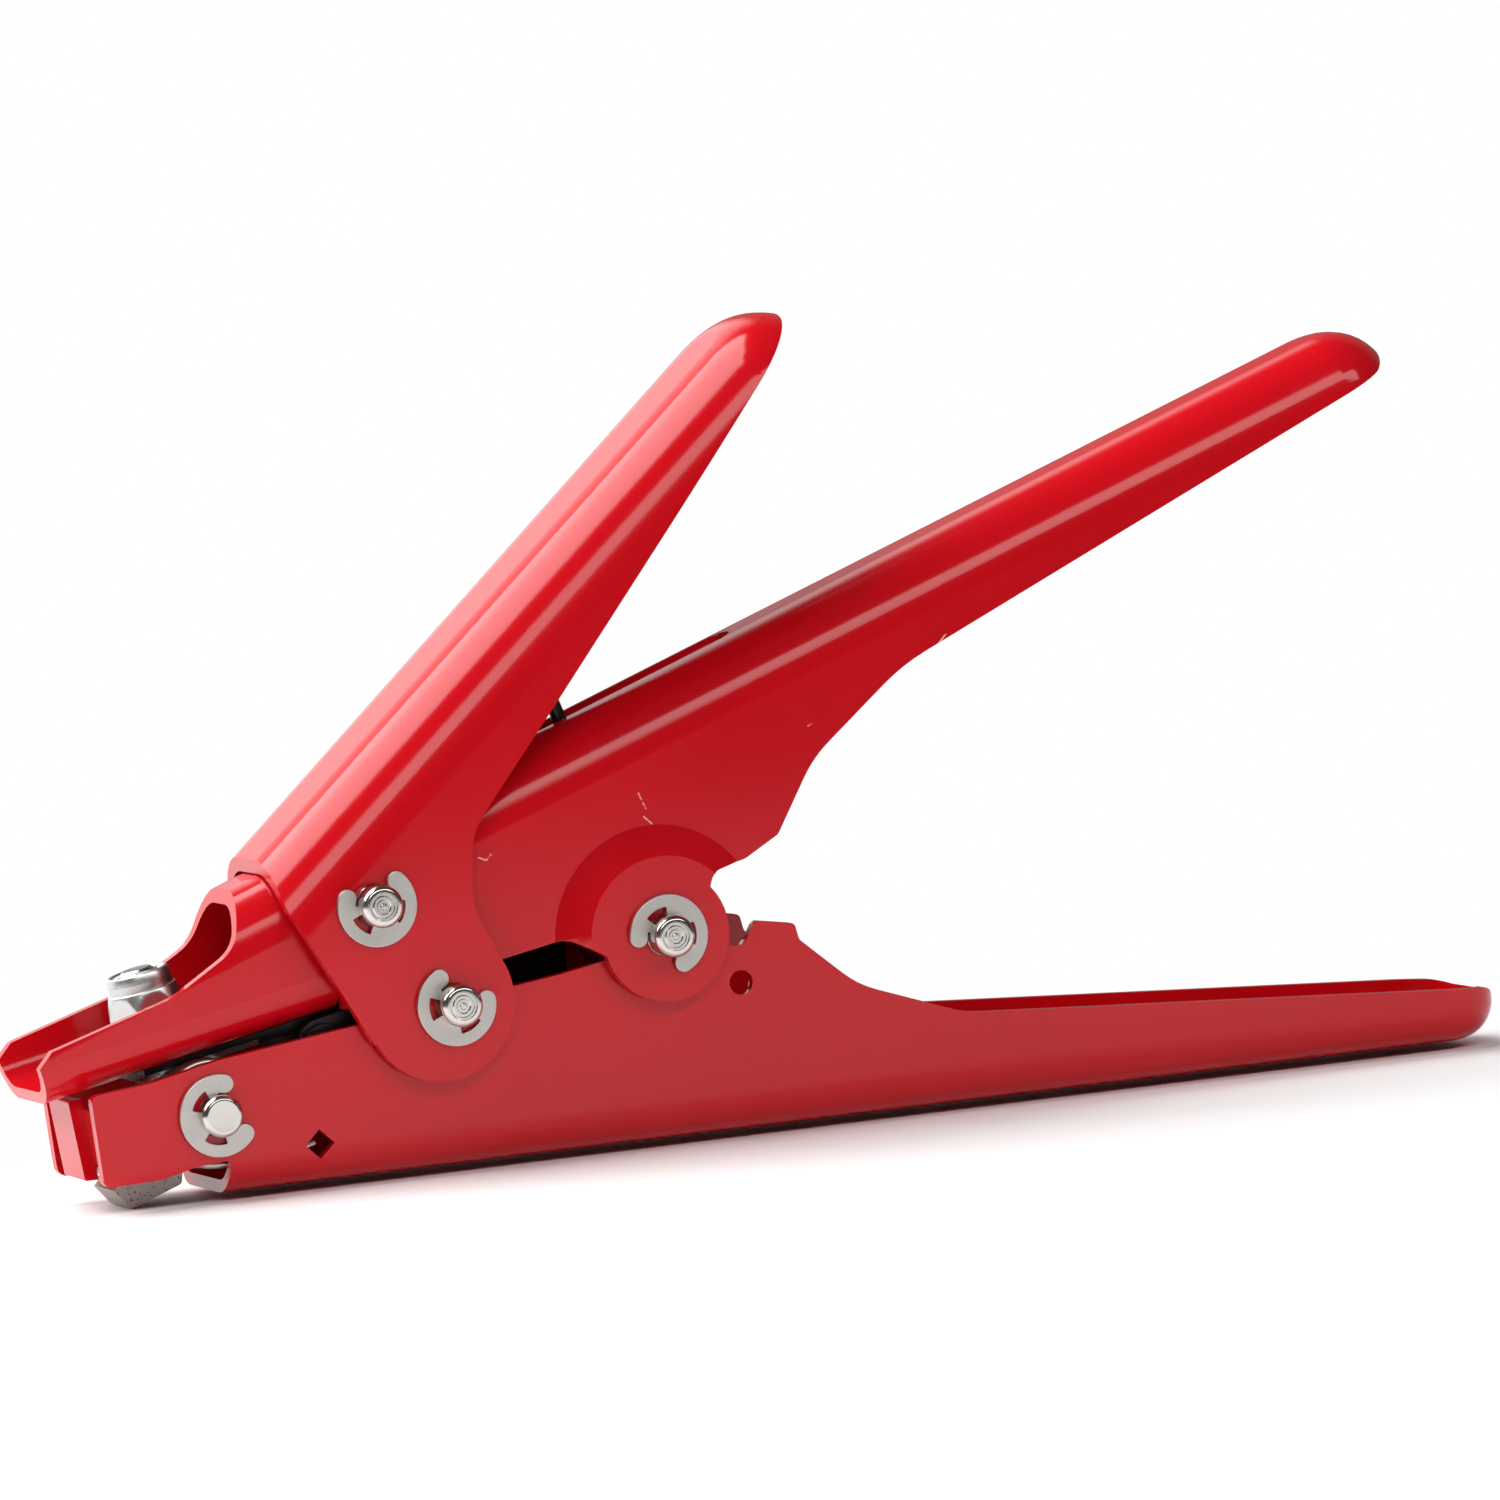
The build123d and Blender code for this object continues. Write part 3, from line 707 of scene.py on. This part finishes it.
def coil(centre, mean, y_from, y_to, angle_from, angle_to):
    """Points of a coil about a pivot, y in mm and angles from +X towards +Z."""
    steps = max(2, round(abs(angle_to - angle_from) / math.radians(7.5)))
    points = []
    for step in range(steps + 1):
        t = step / steps
        a = angle_from + (angle_to - angle_from) * t
        y = (y_from + (y_to - y_from) * t) * MM
        points.append(Vector((centre.x + mean * math.cos(a), y, centre.z + mean * math.sin(a))))
    return points


def spring(name, node, body, path, diameter, finish_name):
    """Wire spring swept along a path in place of the CAD spring, between the two bodies its legs push on.
    """
    tree = wire_tree(finish_name)
    mesh = grown(name, tree, {"Wire Diameter": diameter, "Sides": 24}, path)
    shade(mesh, 50)
    piece = add_piece(name, mesh, body, finish_name, rides=False)
    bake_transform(piece)
    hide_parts(node)
    return piece


# Operators


class FinishPressings(bpy.types.Operator):
    """Enamels the three pressed handles and the anvil block and eases their edges"""

    bl_idname = "tie_tool.finish_pressings"
    bl_label = "Finish Pressings"

    def execute(self, context):
        edge = context.scene.tie_tool_enamel.edge_radius
        dress(["lower_handle", "upper_handle", "cutting_handle"], "red_enamel", edge)
        dress(["nose_anvil_block"], "red_enamel", 1.2 * edge)
        return {"FINISHED"}


class FinishClips(bpy.types.Operator):
    """Gives the four retaining clips their brushed nickel"""

    bl_idname = "tie_tool.finish_clips"
    bl_label = "Finish Clips"

    def execute(self, context):
        clips = ["main_pivot_clip", "pawl_clip", "cutter_pivot_clip", "link_pin_clip"]
        dress(clips, "brushed_nickel", context.scene.tie_tool_metal.clip_edge)
        return {"FINISHED"}


class FinishInnerParts(bpy.types.Operator):
    """Dresses the bushings, spacers, links, blade, gripper and nut"""

    bl_idname = "tie_tool.finish_inner_parts"
    bl_label = "Finish Inner Parts"

    def execute(self, context):
        dress(["main_bushing", "pawl_spacers", "cutter_washers", "blade_rivets"], "zinc_plate", 0.1 * MM)
        dress(["guide_washer", "lock_nut"], "zinc_plate", 0.15 * MM)
        # These parts are made nearly black: painted shade for the gap between the handles, over their
        # blackened finish.
        links = ["near_push_link", "far_push_link", "link_spacer", "cutter_bushing"]
        dress(links, "blackened_gap_shade", 0.12 * MM)
        dress(["blade_pin", "blade_slide", "stop_bracket"], "blackened_gap_shade", 0.06 * MM)
        dress(["cutter_blade"], "tool_steel", 0.06 * MM)
        dress(["gripper_pawl"], "sintered_steel", 0.12 * MM)
        return {"FINISHED"}


PINS = (  # CAD node, body, pivot, half the grip and length of the tail in mm, whether its end is plain
    ("main_pivot_pin", "lower_body", MAIN, 11.8, 2.4, False),
    ("cutter_pivot_pin", "upper_body", CUTTER, 11.9, 2.4, False),
    ("link_pin", "cutting_body", LINK, 11.9, 2.4, False),
    ("pawl_pin", "lower_body", PAWL, 10.0, 1.5, True),
)


def pin_profile(half, tail, plain):
    """Turned pin in mm from its near end: faced or stepped end, clip groove, shank and domed head."""
    gap, clip = 0.1, 0.7
    end = -half - gap - clip - tail
    groove_near, groove_far = -half - 0.85, -half - 0.05
    face = [(0.0, end + 0.06), (1.75, end), (1.9, end)]
    if not plain:
        face = [
            (0.0, end + 0.05), (0.3, end + 0.06), (0.42, end + 0.2), (0.72, end + 0.2), (0.86, end + 0.07),
            (1.16, end + 0.07), (1.3, end + 0.17), (1.52, end + 0.17), (1.62, end), (1.88, end),
        ]
    shoulders = [
        (2.02, end + 0.05), (2.36, end + 0.42), (2.4, end + 0.55),
        (2.4, groove_near - 0.06), (2.34, groove_near), (1.85, groove_near), (1.85, groove_far),
        (2.34, groove_far), (2.4, groove_far + 0.06), (2.4, half), (3.95, half), (4.15, half + 0.1),
        (4.2, half + 0.25), (4.2, half + 0.85), (4.08, half + 1.05), (3.8, half + 1.15),
        (2.6, half + 1.19), (0.9, half + 1.2), (0.7, half + 1.05), (0.0, half + 0.95),
    ]
    return face + shoulders


class TurnPins(bpy.types.Operator):
    """Makes the four turned pins with their stepped ends, grooves and domed heads"""

    bl_idname = "tie_tool.turn_pins"
    bl_label = "Turn Pins"

    def execute(self, context):
        for node, body, centre, half, tail, plain in PINS:
            mesh = revolved("turned_" + node, pin_profile(half, tail, plain), across(centre, 0.0))
            piece = add_piece("turned_" + node, mesh, body, "turned_nickel")
            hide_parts(node)
        return {"FINISHED"}


class CutThread(bpy.types.Operator):
    """Makes the guide bolt with its thread, and the nut's rolled lip and locking ring"""

    bl_idname = "tie_tool.cut_thread"
    bl_label = "Cut Thread"

    def execute(self, context):
        head_low, head_high, top = -2.5, -1.5, 10.5
        core = [
            (0.0, head_low + 0.15), (1.6, head_low + 0.15),
            (1.7, head_low), (3.35, head_low), (3.6, head_low + 0.2),
            (3.6, head_high - 0.1), (3.5, head_high), (2.4, head_high), (2.4, 1.2), (2.1, 1.5),
            (2.1, top - 0.45), (1.75, top - 0.1), (1.6, top), (0.0, top - 0.05),
        ]
        bolt = add_piece(
            "threaded_guide_bolt", revolved("threaded_guide_bolt", core, on_bolt()),
            "upper_body", "turned_nickel",
        )
        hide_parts("guide_bolt")
        pitch, start = 0.8, 1.9
        turns = (top - 0.35 - start) / pitch
        mesh = grown("bolt_thread", thread_tree(), {"Turns": turns, "Pitch": pitch * MM})
        mesh.transform(on_bolt() @ Matrix.Translation((0, 0, start * MM)))
        add_piece("bolt_thread", mesh, "upper_body", "zinc_plate")
        collar_top = 9.9
        lip = [
            (2.95, collar_top - 0.25), (2.95, collar_top + 0.1), (3.08, collar_top + 0.26),
            (3.3, collar_top + 0.3), (3.52, collar_top + 0.2), (3.66, collar_top - 0.1),
            (3.72, collar_top - 0.6), (3.5, collar_top - 0.8),
        ]
        mesh = revolved("nut_rolled_lip", lip, on_bolt(), closed=True)
        add_piece("nut_rolled_lip", mesh, "upper_body", "zinc_plate")
        ring = [
            (2.3, collar_top - 0.2), (2.34, collar_top - 0.02), (2.5, collar_top + 0.06),
            (2.8, collar_top + 0.04), (3.02, collar_top - 0.02), (3.02, collar_top - 0.3),
        ]
        mesh = revolved("nut_locking_ring", ring, on_bolt(), closed=True)
        add_piece("nut_locking_ring", mesh, "upper_body", "nylon")
        return {"FINISHED"}


class LayWelds(bpy.types.Operator):
    """Lays the weld beads between the anvil block and the lower handle's walls"""

    bl_idname = "tie_tool.lay_welds"
    bl_label = "Lay Welds"

    def execute(self, context):
        tree = bead_tree()
        wall = 8.45
        for side, name in ((-1, "near_weld"), (1, "far_weld")):
            start, end = at(-67.75, side * wall, 10.4), at(-66.95, side * wall, 5.2)
            values = {"Start": start, "End": end, "Count": 9, "Bead Radius": 0.42 * MM, "Seed": 7 + side}
            mesh = grown(name, tree, values)
            add_piece(name, mesh, "lower_body", "red_enamel")
        return {"FINISHED"}


class WindSprings(bpy.types.Operator):
    """Winds the three torsion springs from round wire"""

    bl_idname = "tie_tool.wind_springs"
    bl_label = "Wind Springs"

    def execute(self, context):
        wires = context.scene.tie_tool_springs
        turn = 2 * math.pi

        mean, run = 4.65 * MM, 4.75
        low_end, high_end = at(24.0, -run, 2.5), at(9.0, run, 51.0)
        low_angle = tangent_angle(MAIN, mean, low_end, -1)
        high_angle = tangent_angle(MAIN, mean, high_end, 1) - turn
        path = [low_end] + coil(MAIN, mean, -run, run, low_angle, high_angle - 5 * turn) + [high_end]
        spring(
            "handle_spring_wire", "handle_spring", "lower_body", path,
            wires.handle_wire, "bright_wire",
        )

        mean, near = 4.15 * MM, -4.05
        slope, leg = math.radians(19.9), 21.0
        foot = (-4.7, 43.0)
        tip = at(foot[0] - leg * math.sin(slope), 0, foot[1] + leg * math.cos(slope))
        short_end = Vector((CUTTER.x - mean, near * MM, at(0, 0, 21.8).z))
        wound = coil(CUTTER, mean, near, 0.0, math.pi, math.pi / 2 - 2 * turn)
        rise = rounded([wound[-1], at(-28.0, 0, 34.75), at(foot[0], 0, foot[1]), tip], 2.2 * MM)
        # The cutter spring's wire is made nearly black: painted shade for the gap between the handles, over
        # its blackened finish.
        spring(
            "cutter_spring_wire", "cutter_spring", "upper_body",
            [short_end] + wound + rise[1:],
            wires.cutter_wire, "blackened_gap_shade",
        )

        mean, near, far = 5.75 * MM, -7.75, -4.95
        wound = coil(PAWL, mean, near, far, 1.5 * math.pi, 1.5 * math.pi - 3 * turn)
        anchor = rounded([at(-42.4, near, 4.5), at(-47.0, near, 3.35), wound[0]], 1.0 * MM)
        hook = rounded([wound[-1], at(-55.9, far, 3.35), at(-55.9, -1.0, 3.35)], 0.9 * MM)
        spring(
            "pawl_spring_wire", "pawl_spring", "lower_body", anchor[:-1] + wound + hook[1:],
            wires.pawl_wire, "bright_wire",
        )
        return {"FINISHED"}


def studio_world(scene):
    """White to the camera and behind the nose, dim elsewhere, for clear reflections."""
    world = bpy.data.worlds.new("studio")
    world.use_nodes = True
    world.node_tree.nodes.clear()
    g = Graph(world.node_tree)
    way = g.wire("ShaderNodeTexCoord", None, None, "Generated")
    parts = g.node("ShaderNodeSeparateXYZ", None, {0: way})
    along_way, across_way, up_way = (Wire(g, socket) for socket in parts.outputs)
    side_edge, top_edge, tail_edge = (0.25, 0.55), (0.60, 0.85), (0.10, 0.26)
    bright, dim, tail_loss = 1.35, 0.05, 0.92
    behind = g.rise(across_way, *side_edge) * (1 - g.rise(up_way, *top_edge))
    behind = behind * (1 - tail_loss * g.rise(along_way, *tail_edge))
    seen = g.wire("ShaderNodeLightPath", None, None, "Is Camera Ray")
    strength = (behind * bright + dim).most(seen)
    light = g.wire("ShaderNodeBackground", None, {"Color": (1.0, 1.0, 1.0, 1.0), "Strength": strength})
    g.node("ShaderNodeOutputWorld", None, {"Surface": light})
    scene.world = world


LIGHTS = (  # name, direction from the tool, distance in m, width and height in m, watts
    ("front_strip", (0.10, -0.77, 0.64), 1.0, 1.5, 0.28, 5.4),
    ("left_box", (-0.56, 0.24, 0.79), 1.0, 0.95, 0.95, 17.0),
)


class BuildStudio(bpy.types.Operator):
    """Sets the pale floor, the soft lights and the camera"""

    bl_idname = "tie_tool.build_studio"
    bl_label = "Build Studio"

    def execute(self, context):
        scene, studio = context.scene, context.scene.tie_tool_studio
        aim = at(15.97, 0.0, 42.38)

        front, back, side = -0.42, 0.06, 0.7
        corners = [(-side, front, 0), (side, front, 0), (side, back, 0), (-side, back, 0)]
        mesh = bpy.data.meshes.new("studio_floor")
        mesh.from_pydata(corners, [], [(0, 1, 2, 3)])
        material, g = blank_material("studio_floor")
        shaded(g, {"Base Color": tuple(studio.floor_colour), "Roughness": 0.6})
        mesh.materials.append(material)
        floor = bpy.data.objects.new("studio_floor", mesh)
        scene.collection.objects.link(floor)

        studio_world(scene)
        for name, way, distance, width, height, watts in LIGHTS:
            lamp = bpy.data.lights.new(name, "AREA")
            lamp.shape, lamp.size, lamp.size_y, lamp.energy = "RECTANGLE", width, height, watts
            holder = bpy.data.objects.new(name, lamp)
            away = Vector(way).normalized()
            holder.location = aim + away * distance
            holder.rotation_euler = away.to_track_quat("Z", "Y").to_euler()
            scene.collection.objects.link(holder)

        a, e = studio.azimuth, studio.elevation
        back_way = Vector((math.sin(a) * math.cos(e), -math.cos(a) * math.cos(e), math.sin(e)))
        camera = bpy.data.objects.new("camera", bpy.data.cameras.new("camera"))
        camera.data.lens, camera.data.sensor_width = studio.lens, 36.0
        camera.data.clip_start, camera.data.clip_end = 0.05, 50.0
        camera.location = aim + back_way * studio.distance
        upright = back_way.to_track_quat("Z", "Y").to_matrix()
        camera.rotation_euler = (upright @ Matrix.Rotation(studio.roll, 3, "Z")).to_euler()
        scene.collection.objects.link(camera)
        scene.camera = camera
        scene.view_settings.view_transform = "Standard"
        return {"FINISHED"}


OPERATORS = (
    FinishPressings, FinishClips, FinishInnerParts, TurnPins,
    CutThread, LayWelds, WindSprings, BuildStudio,
)


class TieToolPanel(bpy.types.Panel):
    """Lists the tool's settings and operators"""

    bl_idname = "VIEW3D_PT_tie_tool"
    bl_label = "Tie Tool"
    bl_space_type = "VIEW_3D"
    bl_region_type = "UI"
    bl_category = "Tie Tool"

    def draw(self, context):
        for name, group in SETTINGS.items():
            box = self.layout.box()
            for prop in group.__annotations__:
                box.prop(getattr(context.scene, name), prop)
        for operator in OPERATORS:
            self.layout.operator(operator.bl_idname)


def register():
    for group in SETTINGS.values():
        bpy.utils.register_class(group)
    for name, group in SETTINGS.items():
        setattr(bpy.types.Scene, name, bpy.props.PointerProperty(type=group))
    for made in (*OPERATORS, TieToolPanel):
        bpy.utils.register_class(made)


def unregister():
    for made in reversed((*OPERATORS, TieToolPanel)):
        bpy.utils.unregister_class(made)
    for name, group in SETTINGS.items():
        delattr(bpy.types.Scene, name)
        bpy.utils.unregister_class(group)


def main():
    register()
    bpy.ops.tie_tool.finish_pressings()
    bpy.ops.tie_tool.finish_clips()
    bpy.ops.tie_tool.finish_inner_parts()
    bpy.ops.tie_tool.turn_pins()
    bpy.ops.tie_tool.cut_thread()
    bpy.ops.tie_tool.lay_welds()
    bpy.ops.tie_tool.wind_springs()
    bpy.ops.tie_tool.build_studio()


if __name__ == "__main__":
    main()
